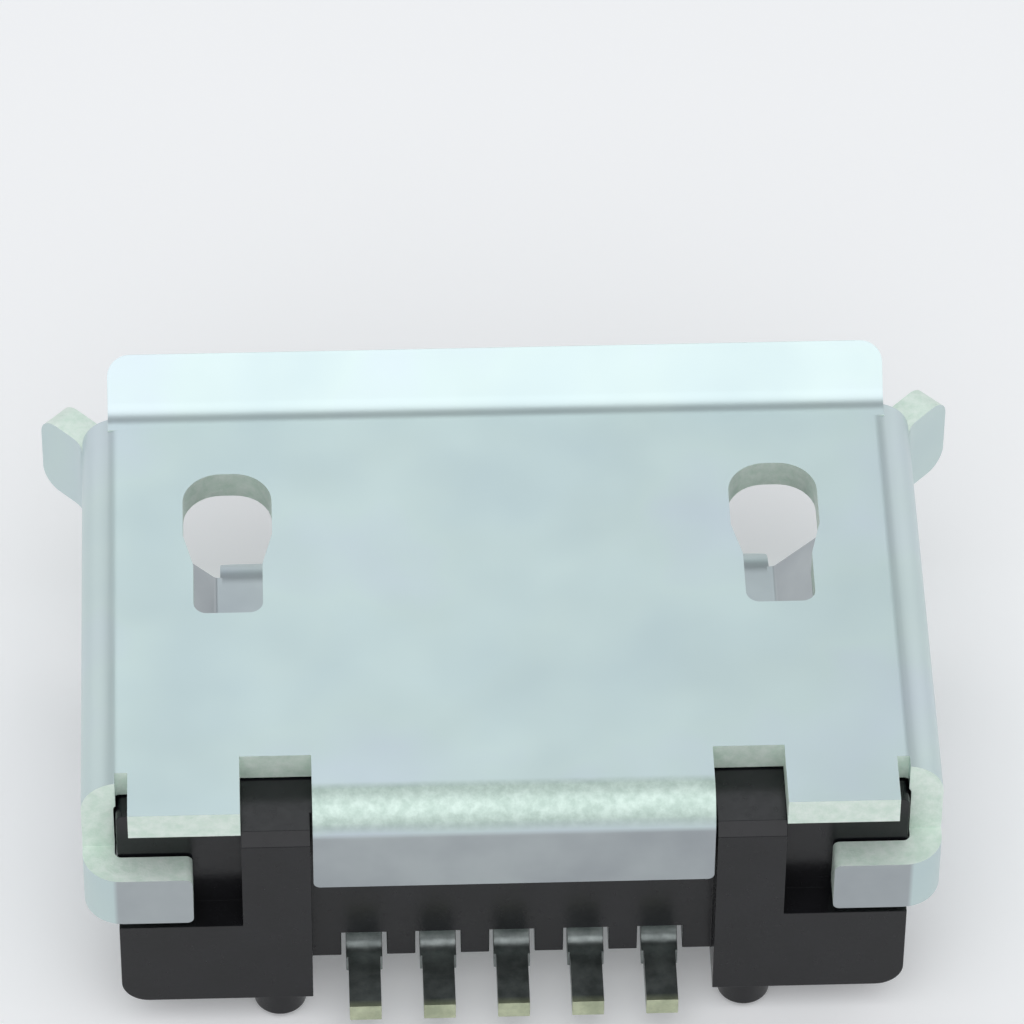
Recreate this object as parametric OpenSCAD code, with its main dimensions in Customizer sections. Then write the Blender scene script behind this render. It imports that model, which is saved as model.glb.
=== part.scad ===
// Five-contact micro plug socket for a circuit board: one folded sheet shell, one moulded
// housing with a tongue, and five stamped contacts. Millimetres, +Z up, mouth towards -Y.
// The origin lies on the board plane, under the middle of the shell's floor.

/* [Opening] */
// Width of the opening, inside the shell
mouth_w = 6.9; // [6.7:0.05:7.2]
// Height of the opening, inside the shell
mouth_h = 1.85; // [1.75:0.05:2.1]
// Leg of the 45 degree slopes at the floor side of the opening
mouth_slope = 0.88; // [0.75:0.01:0.95]

/* [Sheet] */
// Thickness of the shell's sheet
sheet_t = 0.28; // [0.22:0.02:0.3]
// Inside radius of the folds along the shell
corner_r = 0.06; // [0.04:0.02:0.2]
// Inside radius of the flared lips
lip_fold_r = 0.3; // [0.2:0.02:0.34]
// Inside radius of the rear flap and tabs
tab_fold_r = 0.06; // [0.04:0.02:0.1]
// Open seam along the middle of the floor
seam_gap = 0.04; // [0.02:0.01:0.08]

/* [Shell] */
// Length of the roof, from the mouth to its rear edge
roof_len = 4.75; // [4.2:0.05:5.4]
// Distance from the roof's rear edge to the rear face of the flap, the tabs and the feet
rear_step = 0.04; // [0.02:0.01:0.15]
// Distance from the rear face to the rear edge of the floor and the slopes
floor_back = 1.09; // [1:0.01:1.4]

/* [Lips] */
// Angle by which the lips flare out
lip_angle = 45; // [30:5:50]
// Distance from the mouth to the start of the lips' folds
lip_start = 0.1; // [0.04:0.02:0.14]
// Height of the roof lip over the roof
roof_lip_rise = 0.39; // [0.34:0.01:0.44]
// Width of a side lip's overhang past the side wall
side_lip_rise = 0.38; // [0.34:0.01:0.42]
// Depth of the floor lip under the board plane
floor_lip_drop = 0.3; // [0.28:0.01:0.36]
// Radius of the lips' outer corners
lip_corner_r = 0.2; // [0.1:0.02:0.2]
// Distance from a side lip's or the floor lip's end to the fold beside it
lip_inset = 0.02; // [0.01:0.01:0.1]
// Overlap of the roof lip's ends onto the folds beside it
lip_over = 0.1; // [0.02:0.01:0.12]

/* [Roof windows] */
// Distance between the centres of the two latch windows
window_pitch = 4.86; // [4.7:0.02:5]
// Distance from the mouth to a window
window_front = 0.72; // [0.68:0.01:0.8]
// Length of a window
window_len = 1.68; // [1.6:0.01:1.75]
// Width of a window's head, nearer to the mouth
window_head_w = 0.79; // [0.72:0.01:0.85]
// Length of a window's head, with its shoulders
window_head_len = 1.1; // [1:0.01:1.2]
// Length of the shoulders between head and neck
window_shoulder = 0.36; // [0.2:0.02:0.5]
// Width of a window's neck
window_neck_w = 0.61; // [0.5:0.01:0.68]
// Radius of the head's front corners
window_head_r = 0.34; // [0.2:0.02:0.34]
// Radius of the neck's rear corners
window_neck_r = 0.12; // [0.06:0.02:0.2]

/* [Slope slots] */
// Distance from the mouth to the slot in each slope
slot_front = 0.7; // [0.6:0.05:0.8]
// Length of a slope slot
slot_len = 0.75; // [0.6:0.05:0.9]
// Width of a slope slot, across the slope
slot_w = 0.9; // [0.7:0.05:1]

/* [Rear cuts, flap and tabs] */
// Distance between the centres of the two rear notches, and of the columns and pegs under them
notch_pitch = 4.09; // [4:0.01:4.2]
// Width of a rear notch
notch_w = 0.62; // [0.56:0.01:0.66]
// Length of a rear notch, from the roof's rear edge
notch_len = 0.66; // [0.5:0.02:0.8]
// Height of the flap's lower edge over the board plane
flap_z = 1.47; // [1.3:0.02:1.7]
// Distance from the roof's rear edge to the relief cuts at its corners
relief_len = 0.38; // [0.35:0.01:0.5]
// Width that the relief cuts take from each side of the roof, inside the side wall
relief_w = 0.13; // [0.08:0.01:0.2]
// Width of the slit that runs on from each relief cut along the roof
slit_w = 0.11; // [0.06:0.01:0.14]
// Length of that slit
slit_len = 0.12; // [0.04:0.01:0.2]
// Height of a rear tab
tab_h = 0.56; // [0.4:0.02:0.7]
// Reach of a rear tab, from the side wall's outside
tab_reach = 0.95; // [0.8:0.05:1]

/* [Housing] */
// Depth of the opening, from the mouth to the housing
cavity_depth = 2.2; // [2:0.05:2.4]
// Clearance between the housing and the shell
fit_gap = 0.02; // [0.01:0.005:0.03]
// Height of the feet
foot_h = 0.98; // [0.9:0.02:1]
// Radius of the feet's lower outer edge
foot_r = 0.24; // [0.1:0.02:0.3]
// Clearance under a rear tab, over its foot
tab_gap = 0.06; // [0.04:0.01:0.1]
// Slanted edge at the top of a column
column_bevel = 0.1; // [0.04:0.02:0.15]
// Diameter of a locating peg
peg_d = 0.46; // [0.4:0.02:0.48]
// Length of a locating peg under the board plane
peg_len = 0.3; // [0.2:0.02:0.5]
// Bevel at a peg's end
peg_bevel = 0.06; // [0.02:0.01:0.1]
// Distance from the rear face to a peg's axis
peg_back = 0.24; // [0.24:0.01:0.4]
// Gap over the front of the housing, under the roof
brow_h = 0.28; // [0.2:0.02:0.32]
// Depth of that gap
brow_depth = 0.4; // [0.2:0.05:0.6]
// Height of the step in the housing's front, under the brow
step_h = 0.17; // [0.1:0.01:0.22]
// Depth of that step
step_depth = 0.1; // [0.05:0.01:0.15]
// Distance between the two parting grooves in the housing's front
groove_pitch = 4.92; // [4.6:0.02:5]
// Width and depth of a parting groove
groove_w = 0.06; // [0.04:0.01:0.08]

/* [Tongue] */
// Width of the tongue
tongue_w = 3.26; // [3.2:0.02:3.4]
// Thickness of the tongue
tongue_t = 0.4; // [0.38:0.01:0.48]
// Gap between the tongue and the roof
tongue_gap = 0.28; // [0.24:0.01:0.3]
// Distance from the mouth to the tongue
tongue_front = 0.78; // [0.7:0.02:0.9]
// Slanted front edges of the tongue
tongue_bevel = 0.06; // [0.02:0.01:0.1]

/* [Contacts] */
// Distance from contact to contact
contact_pitch = 0.65; // [0.6:0.01:0.67]
// Thickness of the contacts' strip
contact_t = 0.18; // [0.14:0.01:0.2]
// Inside radius of the contacts' bends
contact_r = 0.12; // [0.08:0.01:0.15]
// Width of a contact along the tongue
blade_w = 0.35; // [0.3:0.01:0.4]
// Width of a contact's leg
leg_w = 0.32; // [0.28:0.01:0.36]
// Width of a contact's tail
tail_w = 0.28; // [0.2:0.01:0.3]
// Width of a contact's tip
tip_w = 0.2; // [0.14:0.01:0.24]
// Length of a contact's tip
tip_len = 0.14; // [0.1:0.01:0.2]
// Height by which a contact's tip rises into the tongue
tip_rise = 0.07; // [0.04:0.01:0.1]
// Depth of the contacts' faces over the tongue's underside
blade_recess = 0.03; // [0.01:0.01:0.05]
// Length of the tails past the rear face
tail_len = 0.28; // [0.15:0.01:0.4]
// Distance from the rear face to the rear side of the legs
leg_back = 0.46; // [0.42:0.01:0.56]
// Height of the slots in which the tails leave the housing
exit_h = 0.5; // [0.35:0.01:0.6]
// Clearance between a tail and the sides of its slot
exit_gap = 0.04; // [0.02:0.01:0.06]
// Clearance between a contact and the plastic round it
mould_gap = 0.01; // [0.005:0.005:0.015]

/* [Hidden] */
$fn = 48;

// Overlap of the shapes in a union or a cut
lap = 0.05;
// More than the part measures in any direction
far = 20;
// Distance from a lip's seat in the edge of its wall to the folds beside it
seat_inset = 0.04;

// Heights over the board plane
floor_z = sheet_t;
roof_z = floor_z + mouth_h;
top_z = roof_z + sheet_t;
slope_z = floor_z + mouth_slope;

// Half widths
inner_x = mouth_w / 2;
outer_x = inner_x + sheet_t;
lane_x = inner_x - mouth_slope;
notch_in_x = (notch_pitch - notch_w) / 2;
notch_out_x = (notch_pitch + notch_w) / 2;
roof_rear_x = inner_x - relief_w;
housing_x = inner_x - fit_gap;
column_x = notch_in_x + fit_gap;

// Distances from the mouth
rear_face = roof_len + rear_step;
wall_face = rear_face - sheet_t - fit_gap;
fold_y = rear_face - sheet_t - tab_fold_r;
relief_y = roof_len - relief_len;
floor_len = rear_face - floor_back;
peg_y = rear_face - peg_back;
leg_rear = rear_face - leg_back;
leg_front = leg_rear - contact_t;
tail_end = rear_face + tail_len;
datum_y = floor_len / 2;

// The sheet's outside radius on the folds along the shell, and the flat part between them
outer_r = corner_r + sheet_t;
roof_flat_w = 2 * (outer_x - outer_r);
side_low_z = slope_z - sheet_t * tan(22.5) + outer_r * tan(22.5);
side_flat_h = top_z - outer_r - side_low_z;
floor_flat_w = 2 * (lane_x + (sheet_t - outer_r) * tan(22.5));

// Rear tabs
tab_z = foot_h + tab_gap;
tab_end_x = outer_x - tab_reach;

// Tongue and contacts
tongue_top = roof_z - tongue_gap;
tongue_z = tongue_top - tongue_t;
blade_z = tongue_z + blade_recess;
blade_front = tongue_front + tip_len;
brow_z = roof_z - brow_h;
underside_z = contact_t + fit_gap;

function unit(v) = v / norm(v);

// Corner i of a convex outline with a round of radius r: the round's centre and its two ends
function corner(pts, i, r) =
    let (n = len(pts), p = pts[i],
         u = unit(pts[(i + n - 1) % n] - p), v = unit(pts[(i + 1) % n] - p),
         half = acos(u * v) / 2)
    [p + unit(u + v) * r / sin(half), p + u * r / tan(half), p + v * r / tan(half)];

// Convex outline with a round at each corner whose radius isn't 0
module rounded_outline(pts, radii) {
    rounds = [for (i = [0 : len(pts) - 1]) corner(pts, i, radii[i])];
    polygon([for (i = [0 : len(pts) - 1]) for (k = radii[i] > 0 ? [1, 2] : [0]) rounds[i][k]]);
    for (i = [0 : len(pts) - 1]) if (radii[i] > 0) translate(rounds[i][0]) circle(r = radii[i]);
}

// Section of the shell, grown outward from its inside by g
module section(g) {
    k = g * tan(22.5);
    rounded_outline(
        [[-inner_x - g, roof_z + g], [-inner_x - g, slope_z - k], [-lane_x - k, floor_z - g],
         [lane_x + k, floor_z - g], [inner_x + g, slope_z - k], [inner_x + g, roof_z + g]],
        [for (i = [0 : 5]) corner_r + g]);
}

// A flat shape in X and Z, drawn out from y0 to y1
module along_y(y0, y1) {
    translate([0, y1, 0]) rotate([90, 0, 0]) linear_extrude(y1 - y0) children();
}

// A flat shape in Y and Z, drawn out along X over the width w, about X = 0
module along_x(w) {
    translate([-w / 2, 0, 0]) rotate([90, 0, 90]) linear_extrude(w) children();
}

// Both sides of a symmetrical part
module both_sides() {
    children();
    mirror([1, 0, 0]) children();
}

// Part of a ring of the inside radius r and the thickness t: up to 90 degrees, from +X on
module ring_part(r, t, angle) {
    reach = 2 * (r + t);
    intersection() {
        difference() {
            circle(r = r + t);
            circle(r = r);
        }
        polygon([[0, 0], [reach, 0], 1.5 * reach * [cos(angle / 2), sin(angle / 2)],
                 reach * [cos(angle), sin(angle)]]);
    }
}

// Section of a strip of sheet that arrives along -X under Y = 0, folds up round its upper side and
// ends in a plate of the length len. It starts a little way back, and its straight parts reach
// into the fold with a point.
module fold_section(fold_r, angle, len) {
    polygon([[lap, 0], [0, 0], [-lap, -sheet_t / 2], [0, -sheet_t], [lap, -sheet_t]]);
    translate([0, fold_r]) rotate(-90) mirror([0, 1]) ring_part(fold_r, sheet_t, angle);
    translate([0, fold_r]) rotate(-angle) translate([0, -fold_r])
        polygon([[-len, 0], [0, 0], [lap, -sheet_t / 2], [0, -sheet_t], [-len, -sheet_t]]);
}

// Strip of sheet of the width w, folded up from a wall, with rounded corners at its end
module folded_strip(w, fold_r, angle, len, end_r) {
    difference() {
        along_x(w) fold_section(fold_r, angle, len);
        both_sides()
            translate([0, 0, fold_r]) rotate([-angle, 0, 0])
                translate([w / 2 - end_r, end_r - len, -fold_r - sheet_t - lap])
                    linear_extrude(sheet_t + 2 * lap) difference() {
                        translate([0, -end_r - lap]) square(end_r + lap);
                        circle(r = end_r);
                    }
    }
}

// Lip that stands out from its wall by the distance rise
module lip(w, rise) {
    run = (rise - lip_fold_r * (1 - cos(lip_angle))) / sin(lip_angle);
    translate([0, lip_start, 0]) folded_strip(w, lip_fold_r, lip_angle, run, lip_corner_r);
}

// Place in the front edge of a wall of the width w, where its lip starts to fold
module lip_seat(w) {
    translate([-w / 2, -lap, -sheet_t - lap]) cube([w, lip_start + lap, sheet_t + 2 * lap]);
}

module on_roof() {
    translate([0, 0, top_z]) children();
}

module on_floor() {
    rotate([0, 180, 0]) children();
}

module on_sides() {
    both_sides()
        translate([outer_x, 0, side_low_z + side_flat_h / 2]) rotate([0, 90, 0]) children();
}

module lip_seats() {
    on_roof() lip_seat(roof_flat_w - 2 * seat_inset);
    on_floor() lip_seat(floor_flat_w - 2 * seat_inset);
    on_sides() lip_seat(side_flat_h - 2 * seat_inset);
}

module lips() {
    on_roof() lip(roof_flat_w + 2 * lip_over, roof_lip_rise);
    on_floor() lip(floor_flat_w - 2 * lip_inset, floor_lip_drop);
    on_sides() lip(side_flat_h - 2 * lip_inset, side_lip_rise);
}

// Rear flap, folded down from the roof between the two notches
module rear_flap() {
    drop = roof_z - tab_fold_r - flap_z;
    translate([0, fold_y, roof_z]) rotate([180, 0, 0])
        folded_strip(2 * notch_in_x, tab_fold_r, 90, drop, tab_fold_r);
}

// Rear tab, which runs on from the side wall and folds in behind the housing
module rear_tab() {
    reach = inner_x - tab_fold_r - tab_end_x;
    translate([inner_x, floor_len, tab_z]) cube([sheet_t, fold_y - floor_len, tab_h]);
    translate([inner_x, fold_y, tab_z + tab_h / 2]) rotate([0, 90, 0]) rotate([180, 0, 0])
        folded_strip(tab_h, tab_fold_r, 90, reach, tab_fold_r);
}

// Keyhole outline of a latch window, from its front at Y = 0
module window_outline() {
    head = window_head_w / 2;
    neck = window_neck_w / 2;
    straight = window_head_len - window_shoulder;
    rounded_outline([[-head, 0], [head, 0], [head, straight], [-head, straight]],
                    [window_head_r, window_head_r, 0, 0]);
    polygon([[-head, straight], [head, straight], [neck, window_head_len], [-neck, window_head_len]]);
    rounded_outline([[-neck, straight], [neck, straight], [neck, window_len], [-neck, window_len]],
                    [0, 0, window_neck_r, window_neck_r]);
}

// Slot through the middle of a slope, square to the sheet
module slope_slot() {
    translate([(inner_x + lane_x) / 2, slot_front, (slope_z + floor_z) / 2]) rotate([0, -45, 0])
        translate([-slot_w / 2, 0, -sheet_t - lap]) cube([slot_w, slot_len, sheet_t + 2 * lap]);
}

module roof_cuts() {
    both_sides() {
        translate([window_pitch / 2, window_front, roof_z - lap])
            linear_extrude(sheet_t + 2 * lap) window_outline();
        translate([notch_in_x, roof_len - notch_len, roof_z - lap])
            cube([notch_w, far, sheet_t + 2 * lap]);
        translate([roof_rear_x, relief_y, -far / 2]) cube(far);
        translate([roof_rear_x, relief_y - slit_len, roof_z - lap])
            cube([slit_w, slit_len + lap, sheet_t + 2 * lap]);
    }
    translate([-notch_in_x - lap, fold_y, -far / 2]) cube([2 * notch_in_x + 2 * lap, far, far]);
}

// The shell: one sheet, folded round and open along its seam
module shell() {
    color([0.76, 0.81, 0.83]) translate([0, -datum_y, 0]) difference() {
        union() {
            difference() {
                along_y(0, roof_len) section(sheet_t);
                along_y(-lap, roof_len + lap) section(0);
                roof_cuts();
                lip_seats();
                translate([-far / 2, floor_len, side_low_z - far]) cube(far);
                both_sides() slope_slot();
            }
            lips();
            rear_flap();
            both_sides() rear_tab();
        }
        translate([-seam_gap / 2, -far / 2, floor_z + corner_r - far]) cube([seam_gap, far, far]);
    }
}

// One contact grown by g on all sides, about X = 0: tip, blade, leg and tail
module contact_form(g) {
    top_bend = [leg_front - contact_r, blade_z - contact_r];
    low_bend = [leg_rear + contact_r, contact_t + contact_r];
    grown_t = contact_t + 2 * g;
    along_x(tip_w + 2 * g)
        polygon([[tongue_front, blade_z + tip_rise - g], [blade_front + lap, blade_z - g],
                 [blade_front + lap, blade_z + contact_t + g],
                 [tongue_front, blade_z + contact_t + tip_rise + g]]);
    along_x(blade_w + 2 * g) {
        translate([blade_front, blade_z - g]) square([top_bend[0] - blade_front, grown_t]);
        translate(top_bend) ring_part(contact_r - g, grown_t, 90);
        translate([leg_front - g, top_bend[1] - lap]) square([grown_t, lap]);
    }
    along_x(leg_w + 2 * g) {
        translate([leg_front - g, low_bend[1]]) square([grown_t, top_bend[1] - low_bend[1]]);
        translate(low_bend) rotate(180) ring_part(contact_r - g, grown_t, 90);
        translate([low_bend[0], -g]) square([lap, grown_t]);
    }
    translate([-tail_w / 2 - g, low_bend[0], -g])
        cube([tail_w + 2 * g, tail_end - low_bend[0], grown_t]);
}

// The contact at place i of five, counted from -X
module contact(i) {
    color([0.78, 0.76, 0.66]) translate([(i - 3) * contact_pitch, -datum_y, 0]) contact_form(0);
}

// Space that the housing leaves for one contact: its bed, its open groove under the tongue, the
// notch for its tip and the slot for its tail
module contact_space() {
    groove_w = blade_w + 2 * mould_gap;
    notch_w = tip_w + 2 * exit_gap;
    exit_w = leg_w + 2 * exit_gap;
    contact_form(mould_gap);
    translate([-groove_w / 2, blade_front, tongue_z - lap])
        cube([groove_w, cavity_depth - blade_front, contact_t + blade_recess + mould_gap + lap]);
    translate([-notch_w / 2, tongue_front - lap, tongue_z - lap])
        cube([notch_w, tip_len + lap, contact_t + blade_recess + tip_rise + mould_gap + lap]);
    translate([-exit_w / 2, leg_front - mould_gap, -lap])
        cube([exit_w, far, exit_h + lap]);
}

module tongue() {
    b = tongue_bevel;
    back = cavity_depth + brow_depth + lap;
    along_x(tongue_w)
        polygon([[tongue_front, tongue_z + b], [tongue_front + b, tongue_z], [back, tongue_z],
                 [back, tongue_top], [tongue_front + b, tongue_top], [tongue_front, tongue_top - b]]);
}

// Foot with its locating peg, and the column over it that stands behind the roof's notch
module foot() {
    peg_r = peg_d / 2;
    along_y(wall_face - lap, rear_face)
        rounded_outline([[column_x, foot_h], [column_x, 0], [housing_x, 0], [housing_x, foot_h]],
                        [0, 0, foot_r, 0]);
    translate([(column_x + notch_out_x) / 2, 0, 0]) along_x(notch_out_x - column_x)
        polygon([[wall_face - lap, foot_h - lap], [rear_face, foot_h - lap],
                 [rear_face, roof_z - fit_gap - column_bevel],
                 [rear_face - column_bevel, roof_z - fit_gap], [wall_face - lap, roof_z - fit_gap]]);
    translate([notch_pitch / 2, peg_y, 0]) rotate_extrude()
        polygon([[0, lap], [0, -peg_len], [peg_r - peg_bevel, -peg_len],
                 [peg_r, peg_bevel - peg_len], [peg_r, lap]]);
}

// Outline of the housing behind the floor's rear edge: feet outside, a raised underside between
module rear_outline() {
    difference() {
        rounded_outline([[-housing_x, roof_z - fit_gap], [-housing_x, 0],
                         [housing_x, 0], [housing_x, roof_z - fit_gap]],
                        [corner_r, foot_r, foot_r, corner_r]);
        translate([-column_x, underside_z - far]) square([2 * column_x, far]);
    }
}

module housing_front_cuts() {
    translate([-far / 2, cavity_depth - lap, brow_z]) cube([far, brow_depth + lap, far]);
    both_sides() {
        translate([tongue_w / 2, cavity_depth - lap, brow_z - step_h])
            cube([far, step_depth + lap, far]);
        translate([groove_pitch / 2 - groove_w / 2, cavity_depth - lap, 0])
            cube([groove_w, groove_w + lap, brow_z - step_h]);
    }
}

// The housing: the moulded block that fills the rear of the shell and carries the tongue
module housing() {
    color([0.1, 0.1, 0.11]) translate([0, -datum_y, 0]) difference() {
        union() {
            difference() {
                along_y(cavity_depth, floor_len + lap) section(-fit_gap);
                housing_front_cuts();
            }
            along_y(floor_len + fit_gap, wall_face) rear_outline();
            both_sides() foot();
            tongue();
        }
        for (i = [1 : 5]) translate([(i - 3) * contact_pitch, 0, 0]) contact_space();
    }
}

shell();
housing();
contact(1);  // contact_1
contact(2);  // contact_2
contact(3);  // contact_3
contact(4);  // contact_4
contact(5);  // contact_5
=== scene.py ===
"""Looks of the micro plug socket: the folded sheet shell, the moulded housing and its contacts."""

import math

import bpy
from mathutils import Matrix, Vector
from mathutils.bvhtree import BVHTree


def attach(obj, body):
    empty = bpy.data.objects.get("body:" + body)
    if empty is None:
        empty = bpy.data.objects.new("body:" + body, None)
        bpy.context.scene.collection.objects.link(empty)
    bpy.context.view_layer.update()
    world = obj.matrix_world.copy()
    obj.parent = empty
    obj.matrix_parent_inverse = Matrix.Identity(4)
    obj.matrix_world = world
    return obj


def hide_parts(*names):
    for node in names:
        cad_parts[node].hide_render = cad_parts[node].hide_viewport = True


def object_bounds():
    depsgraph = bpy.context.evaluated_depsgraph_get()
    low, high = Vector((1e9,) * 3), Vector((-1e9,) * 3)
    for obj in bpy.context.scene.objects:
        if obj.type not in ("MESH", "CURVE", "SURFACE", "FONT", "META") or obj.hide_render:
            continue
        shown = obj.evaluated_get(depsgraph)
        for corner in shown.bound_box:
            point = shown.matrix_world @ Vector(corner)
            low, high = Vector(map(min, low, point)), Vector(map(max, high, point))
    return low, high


MM = 0.001

# The view: a long lens behind and above the socket
LENS_MM = 269.8
ELEVATION = 46.61
AZIMUTH = -2.44
ROLL = 0.58
AIM_POINT = Vector((0, 1.74, 4.88)) * MM
AIM_DISTANCE = 64.79 * MM

# The sheet is this thick, and a face with more metal behind it is a sheared edge
SHEET_T = 0.28 * MM
SHEARED_DEPTH = 0.34 * MM

# Softening of the edges: sheared steel, moulded plastic, stamped contacts
SHELL_EDGE = 0.016 * MM
HOUSING_EDGE = 0.02 * MM
CONTACT_EDGE = 0.012 * MM

# How much paler the floor is seen than it is lit
PAPER_GLOW = 0.16

CONTACTS = ["contact_%d" % i for i in range(1, 6)]


def basis(elevation, azimuth, roll):
    """The camera's right, up and forward directions."""
    e, a, r = (math.radians(v) for v in (elevation, azimuth, roll))
    forward = Vector((math.sin(a) * math.cos(e), -math.cos(a) * math.cos(e), -math.sin(e)))
    right = forward.cross(Vector((0, 0, 1))).normalized()
    up = right.cross(forward)
    return (right * math.cos(r) + up * math.sin(r),
            up * math.cos(r) - right * math.sin(r), forward)


def make_camera():
    right, up, forward = basis(ELEVATION, AZIMUTH, ROLL)
    data = bpy.data.cameras.new("camera")
    data.lens = LENS_MM
    data.sensor_width = 36
    data.clip_start = 0.001
    data.clip_end = 5
    camera = bpy.data.objects.new("camera", data)
    turn = Matrix((right, up, -forward)).transposed().to_4x4()
    camera.matrix_world = Matrix.Translation(AIM_POINT - forward * AIM_DISTANCE) @ turn
    bpy.context.scene.collection.objects.link(camera)
    bpy.context.scene.camera = camera


def deselect_all():
    for obj in bpy.context.selected_objects:
        obj.select_set(False)


def activate(obj):
    deselect_all()
    obj.select_set(True)
    bpy.context.view_layer.objects.active = obj


# Materials


class Nodes:
    """Short calls for the node tree of one material."""

    def __init__(self, name):
        self.material = bpy.data.materials.new(name)
        self.material.use_nodes = True
        self.tree = self.material.node_tree
        self.shader = self.tree.nodes["Principled BSDF"]
        self.place = self.add("ShaderNodeTexCoord").outputs["Object"]

    def add(self, kind, **values):
        node = self.tree.nodes.new(kind)
        for key, value in values.items():
            if key in node.inputs:
                node.inputs[key].default_value = value
            else:
                setattr(node, key, value)
        return node

    def link(self, source, target):
        self.tree.links.new(source, target)

    def noise(self, per_mm, detail=3.0, rough=0.5, stretch=(1, 1, 1)):
        """Noise with about per_mm patches in a millimetre, stretched along an axis where its value is small."""
        turn = self.add("ShaderNodeMapping", Scale=stretch)
        self.link(self.place, turn.inputs["Vector"])
        node = self.add("ShaderNodeTexNoise", Scale=per_mm / MM, Detail=detail, Roughness=rough)
        self.link(turn.outputs["Vector"], node.inputs["Vector"])
        return node.outputs["Fac"]

    def remap(self, value, low, high, to_low, to_high):
        node = self.add("ShaderNodeMapRange")
        for socket, number in zip(("From Min", "From Max", "To Min", "To Max"), (low, high, to_low, to_high)):
            node.inputs[socket].default_value = number
        self.link(value, node.inputs["Value"])
        return node.outputs["Result"]

    def ramp(self, value, *stops):
        node = self.add("ShaderNodeValToRGB")
        elements = node.color_ramp.elements
        while len(elements) < len(stops):
            elements.new(0.5)
        for element, (place, color) in zip(elements, stops):
            element.position = place
            element.color = (*color, 1)
        self.link(value, node.inputs["Fac"])
        return node.outputs["Color"]

    def mix(self, amount, first, second):
        """One colour where the amount is 0, and the other where it is 1."""
        node = self.add("ShaderNodeMix", data_type="RGBA")
        self.link(amount, node.inputs[0])
        for source, socket in ((first, node.inputs[6]), (second, node.inputs[7])):
            self.link(source, socket)
        return node.outputs[2]

    def within(self, axis, start, end):
        """Rises from 0 to 1 between two places along X, Y or Z, in millimetres."""
        split = self.add("ShaderNodeSeparateXYZ")
        self.link(self.place, split.inputs["Vector"])
        return self.remap(split.outputs[axis], start * MM, end * MM, 0.0, 1.0)

    def product(self, first, second, operation="MULTIPLY"):
        node = self.add("ShaderNodeMath", operation=operation)
        self.link(first, node.inputs[0])
        self.link(second, node.inputs[1])
        return node.outputs[0]

    def total(self, first, second):
        return self.product(first, second, "ADD")

    def bump(self, height, strength, distance, normal=None):
        """Bump of a plain strength, or of one that a node gives."""
        node = self.add("ShaderNodeBump", Distance=distance)
        if isinstance(strength, float):
            node.inputs["Strength"].default_value = strength
        else:
            self.link(strength, node.inputs["Strength"])
        self.link(height, node.inputs["Height"])
        if normal is not None:
            self.link(normal, node.inputs["Normal"])
        return node.outputs["Normal"]

    def set(self, **values):
        for key, value in values.items():
            self.shader.inputs[key.replace("_", " ")].default_value = value


def nickel_sheet():
    """Satin nickel plating: pale blue-grey and blotchy, darker inside by a painted shade, coarse and white on the
    flap's bend.
    """
    n = Nodes("nickel_sheet")
    bend = n.product(n.within("Y", 2.56, 2.64), n.within("Z", 2.15, 2.25))
    bend = n.product(bend, n.product(n.within("X", -1.80, -1.73), n.within("X", 1.80, 1.73)))
    # Mask of the shell's inside faces, which get a painted shade
    inside = n.product(n.within("Z", 2.15, 2.10), n.within("Z", 0.24, 0.29))
    inside = n.product(inside, n.product(n.within("X", -3.47, -3.43), n.within("X", 3.47, 3.43)))
    blotch = n.ramp(n.noise(0.5, detail=3), (0.3, (0.55, 0.66, 0.67)), (0.5, (0.59, 0.70, 0.69)),
                    (0.7, (0.59, 0.67, 0.72)))
    # Painted shade: the darker grey laid on the inside faces
    painted_shade_color = n.ramp(n.noise(1.5, detail=3), (0.3, (0.38, 0.41, 0.43)), (0.7, (0.46, 0.50, 0.51)))
    speck = n.noise(11, detail=4, rough=0.65)
    stretched = n.ramp(speck, (0.35, (0.57, 0.70, 0.63)), (0.65, (0.73, 0.86, 0.79)))
    n.link(n.mix(bend, n.mix(inside, blotch, painted_shade_color), stretched), n.shader.inputs["Base Color"])
    n.set(Metallic=1.0)
    gloss = n.remap(n.noise(1.2, detail=3), 0.3, 0.7, 0.345, 0.375)
    n.link(n.total(gloss, n.remap(bend, 0, 1, 0, 0.2)), n.shader.inputs["Roughness"])
    grain = n.bump(n.noise(18, detail=3, stretch=(1, 0.2, 1)), 0.04, 0.003 * MM)
    n.link(n.bump(speck, n.remap(bend, 0, 1, 0, 0.3), 0.012 * MM, grain), n.shader.inputs["Normal"])
    return n.material


def sheared_edge():
    """The sheet's sheared edges: whiter, duller and coarser than its faces."""
    n = Nodes("sheared_edge")
    grain = n.noise(9, detail=5, rough=0.65)
    n.link(n.ramp(grain, (0.35, (0.72, 0.87, 0.76)), (0.65, (0.88, 0.98, 0.90))), n.shader.inputs["Base Color"])
    n.set(Metallic=0.12)
    n.link(n.remap(grain, 0.3, 0.7, 0.36, 0.5), n.shader.inputs["Roughness"])
    n.link(n.bump(grain, 0.6, 0.016 * MM), n.shader.inputs["Normal"])
    return n.material


def black_plastic():
    """The moulded housing: near black and half glossy."""
    n = Nodes("black_plastic")
    cloud = n.noise(2, detail=3)
    n.link(n.ramp(cloud, (0.3, (0.004, 0.004, 0.005)), (0.7, (0.008, 0.008, 0.010))), n.shader.inputs["Base Color"])
    n.set(Specular_IOR_Level=0.42)
    n.link(n.remap(n.noise(14, detail=3), 0.3, 0.7, 0.2, 0.28), n.shader.inputs["Roughness"])
    n.link(n.bump(n.noise(24, detail=2), 0.15, 0.005 * MM), n.shader.inputs["Normal"])
    return n.material


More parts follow.
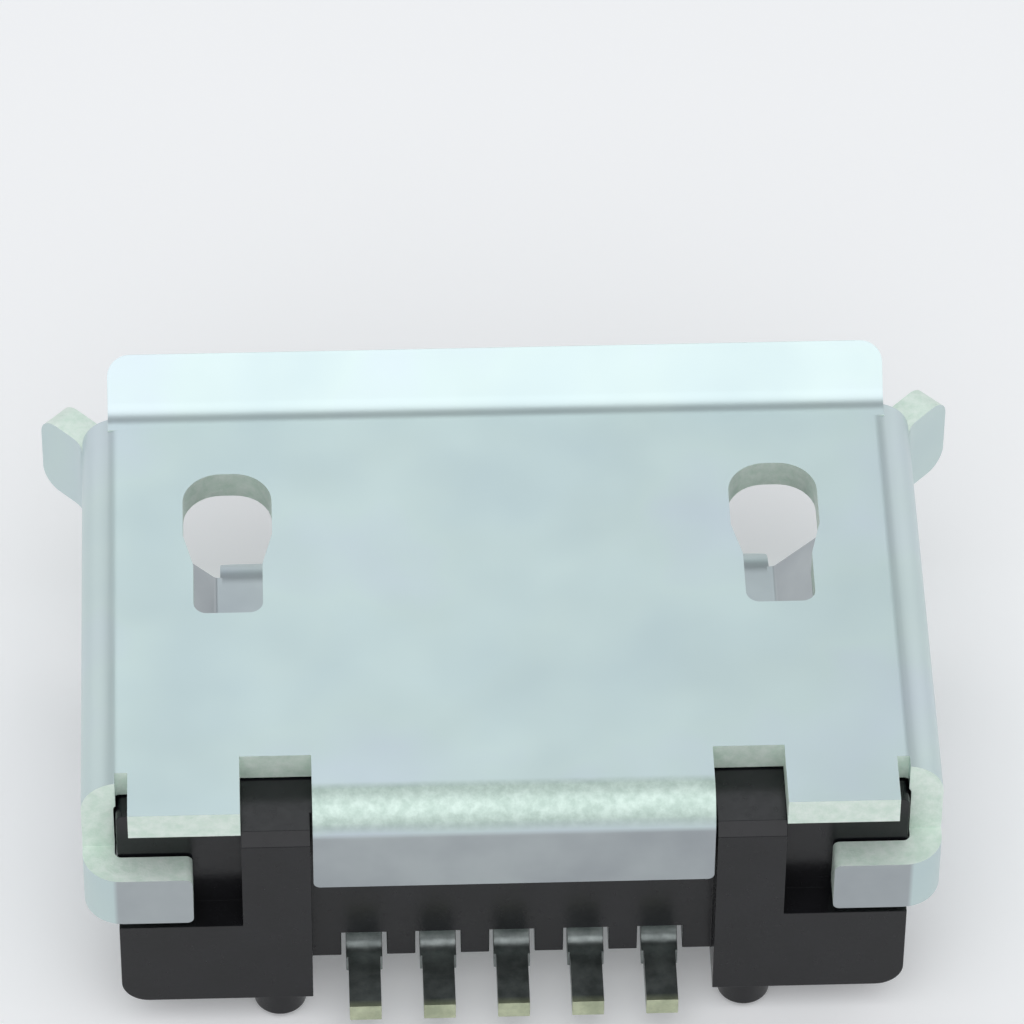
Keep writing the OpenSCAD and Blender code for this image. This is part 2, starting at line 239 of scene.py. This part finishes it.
def eroded_plastic():
    """The housing's faces inside the mouth: the sparkling grain of a spark-eroded mould."""
    n = Nodes("eroded_plastic")
    grain = n.noise(16, detail=5, rough=0.7)
    n.link(n.ramp(grain, (0.42, (0.008, 0.011, 0.015)), (0.68, (0.09, 0.12, 0.15))), n.shader.inputs["Base Color"])
    n.set(Roughness=0.3)
    n.link(n.bump(grain, 0.9, 0.03 * MM), n.shader.inputs["Normal"])
    return n.material


def plated_contact():
    """Plated contacts: tin grey, darker by a painted shade where they leave the plastic, pale gold on the tails'
    cut ends.
    """
    n = Nodes("plated_contact")
    smear = n.noise(5, detail=4, rough=0.6)
    # Painted shade: a darker grey for the contacts where they leave the plastic
    painted_shade_color = n.ramp(smear, (0.35, (0.16, 0.18, 0.175)), (0.65, (0.30, 0.33, 0.32)))
    tin = n.ramp(smear, (0.35, (0.36, 0.40, 0.38)), (0.65, (0.52, 0.56, 0.52)))
    gold = n.ramp(smear, (0.35, (0.42, 0.46, 0.32)), (0.65, (0.62, 0.66, 0.47)))
    # The painted shade lies behind Y 2.2 to 2.5 mm, towards the rear
    color = n.mix(n.within("Y", 2.5, 2.2), painted_shade_color, tin)
    color = n.mix(n.within("Y", 3.14, 3.2), color, gold)
    color = n.mix(n.within("Y", -0.9, -0.96), color, gold)
    n.link(color, n.shader.inputs["Base Color"])
    n.set(Metallic=0.9)
    n.link(n.remap(n.noise(8, detail=4), 0.3, 0.7, 0.32, 0.46), n.shader.inputs["Roughness"])
    n.link(n.bump(n.noise(20, detail=3), 0.25, 0.006 * MM), n.shader.inputs["Normal"])
    return n.material


def studio_paper():
    """Pale paper, a little paler still where it is seen straight or in a reflection."""
    n = Nodes("studio_paper")
    n.link(n.ramp(n.noise(0.02, detail=2), (0.3, (0.88, 0.88, 0.88)), (0.7, (0.90, 0.90, 0.90))),
           n.shader.inputs["Base Color"])
    n.set(Roughness=0.7, Emission_Color=(0.97, 0.98, 1.0, 1))
    ray = n.add("ShaderNodeLightPath")
    seen = n.add("ShaderNodeMath", operation="MAXIMUM")
    n.link(ray.outputs["Is Camera Ray"], seen.inputs[0])
    n.link(ray.outputs["Is Glossy Ray"], seen.inputs[1])
    n.link(n.remap(seen.outputs[0], 0, 1, 0, PAPER_GLOW), n.shader.inputs["Emission Strength"])
    return n.material


# Pieces


def dressed_copy(node, name, edge, materials):
    """A copy of a node's mesh with whole faces and softened edges, which stands for the node."""
    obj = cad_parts[node].copy()
    obj.data = obj.data.copy()
    obj.name = obj.data.name = name
    obj.parent = None
    for key in list(obj.keys()):
        del obj[key]
    bpy.context.scene.collection.objects.link(obj)
    obj.data.materials.clear()
    for material in materials:
        obj.data.materials.append(material)
    activate(obj)
    bpy.ops.object.mode_set(mode="EDIT")
    bpy.ops.mesh.select_all(action="SELECT")
    bpy.ops.mesh.remove_doubles(threshold=1e-7)
    bpy.ops.mesh.dissolve_limited(angle_limit=math.radians(0.5))
    bpy.ops.object.mode_set(mode="OBJECT")
    soften(obj, edge)
    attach(obj, "root")
    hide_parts(node)
    return obj


def soften(obj, edge):
    """Rounds the edges by a small bevel and shades the curved faces smooth."""
    bevel = obj.modifiers.new("edges", "BEVEL")
    bevel.width = edge
    bevel.segments = 2
    bevel.limit_method = "ANGLE"
    bevel.angle_limit = math.radians(40)
    bevel.use_clamp_overlap = True
    bevel.harden_normals = False
    activate(obj)
    bpy.ops.object.modifier_apply(modifier=bevel.name)
    bpy.ops.object.shade_smooth_by_angle(angle=math.radians(35))
    level_faces(obj.data)


def level_faces(mesh):
    """Turns the shading of each corner towards the large faces beside it, so that flat sheet looks flat."""
    around = {}
    for face in mesh.polygons:
        for vertex in face.vertices:
            around.setdefault(vertex, []).append(face)
    limit = math.cos(math.radians(40))
    normals = []
    for face in mesh.polygons:
        for vertex in face.vertices:
            total = Vector()
            for other in around[vertex]:
                if other.normal.dot(face.normal) > limit:
                    total += other.normal * (other.area / MM ** 2) ** 2
            normals.append(total.normalized() if total.length > 1e-12 else face.normal)
    mesh.normals_split_custom_set(normals)


def metal_behind(tree, triangle):
    """How far the metal reaches behind the middle of a triangle."""
    inward = -Vector(triangle.normal)
    hit = tree.ray_cast(Vector(triangle.center) + inward * 1e-6, inward)
    return hit[3] if hit[3] is not None else 1.0


def mark_sheared(obj, index):
    """Gives the sheared edges of the sheet their own material, by the largest triangle of each face."""
    mesh = obj.data
    tree = BVHTree.FromPolygons([v.co for v in mesh.vertices], [p.vertices for p in mesh.polygons])
    mesh.calc_loop_triangles()
    largest = {}
    for triangle in mesh.loop_triangles:
        known = largest.get(triangle.polygon_index)
        if known is None or triangle.area > known.area:
            largest[triangle.polygon_index] = triangle
    for number, triangle in largest.items():
        if metal_behind(tree, triangle) > SHEARED_DEPTH:
            mesh.polygons[number].material_index = index


def shell_piece():
    shell = dressed_copy("shell", "sheet_shell", SHELL_EDGE, [nickel_sheet(), sheared_edge()])
    mark_sheared(shell, 1)
    return shell


def housing_piece():
    housing = dressed_copy("housing", "moulded_housing", HOUSING_EDGE,
                           [black_plastic(), eroded_plastic()])
    for face in housing.data.polygons:
        if face.normal.y < -0.5 and face.center.y < 1 * MM:
            face.material_index = 1
    return housing


def contact_pieces():
    plating = plated_contact()
    for node in CONTACTS:
        dressed_copy(node, "plated_" + node, CONTACT_EDGE, [plating])


# Studio


def make_floor(lowest):
    bpy.ops.mesh.primitive_plane_add(size=2, location=(0, 0, lowest))
    floor = bpy.context.object
    floor.name = "studio_floor"
    floor.data.materials.append(studio_paper())


def area_lamp(name, azimuth, elevation, distance, size, radiance, color=(1, 1, 1)):
    """A square soft lamp that looks at the socket. Azimuth 0 lies in front of the mouth, at -Y."""
    a, e = math.radians(azimuth), math.radians(elevation)
    away = Vector((math.sin(a) * math.cos(e), -math.cos(a) * math.cos(e), math.sin(e)))
    data = bpy.data.lights.new(name, "AREA")
    data.shape = "SQUARE"
    data.size = size
    data.energy = radiance * math.pi * size * size
    data.color = color
    lamp = bpy.data.objects.new(name, data)
    turn = away.to_track_quat("Z", "Y").to_matrix().to_4x4()
    lamp.matrix_world = Matrix.Translation(Vector((0, 0.5, 1)) * MM + away * distance) @ turn
    bpy.context.scene.collection.objects.link(lamp)


def make_lights():
    world = bpy.data.worlds.new("studio_world")
    world.use_nodes = True
    background = world.node_tree.nodes["Background"]
    background.inputs["Color"].default_value = (0.93, 0.97, 1.0, 1)
    background.inputs["Strength"].default_value = 0.4
    bpy.context.scene.world = world
    area_lamp("key_lamp", 180, 58, 0.16, 0.2, 1.2, (0.98, 0.98, 1.0))
    area_lamp("front_lamp", 3, 48, 0.2, 0.08, 1.1, (0.94, 0.98, 1.0))
    for side, azimuth in (("left", -44), ("right", 44)):
        area_lamp("front_lamp_" + side, azimuth, 20, 0.2, 0.15, 0.62, (0.99, 0.97, 0.98))


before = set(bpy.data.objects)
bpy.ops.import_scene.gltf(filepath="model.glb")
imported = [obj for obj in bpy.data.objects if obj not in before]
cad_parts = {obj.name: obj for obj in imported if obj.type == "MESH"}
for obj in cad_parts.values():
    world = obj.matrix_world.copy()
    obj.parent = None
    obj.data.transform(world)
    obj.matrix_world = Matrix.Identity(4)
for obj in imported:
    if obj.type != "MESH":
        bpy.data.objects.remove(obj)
cad_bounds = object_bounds()
bpy.context.scene.view_settings.view_transform = "Standard"
make_camera()
shell_piece()
housing_piece()
contact_pieces()
make_floor(cad_bounds[0][2])
make_lights()
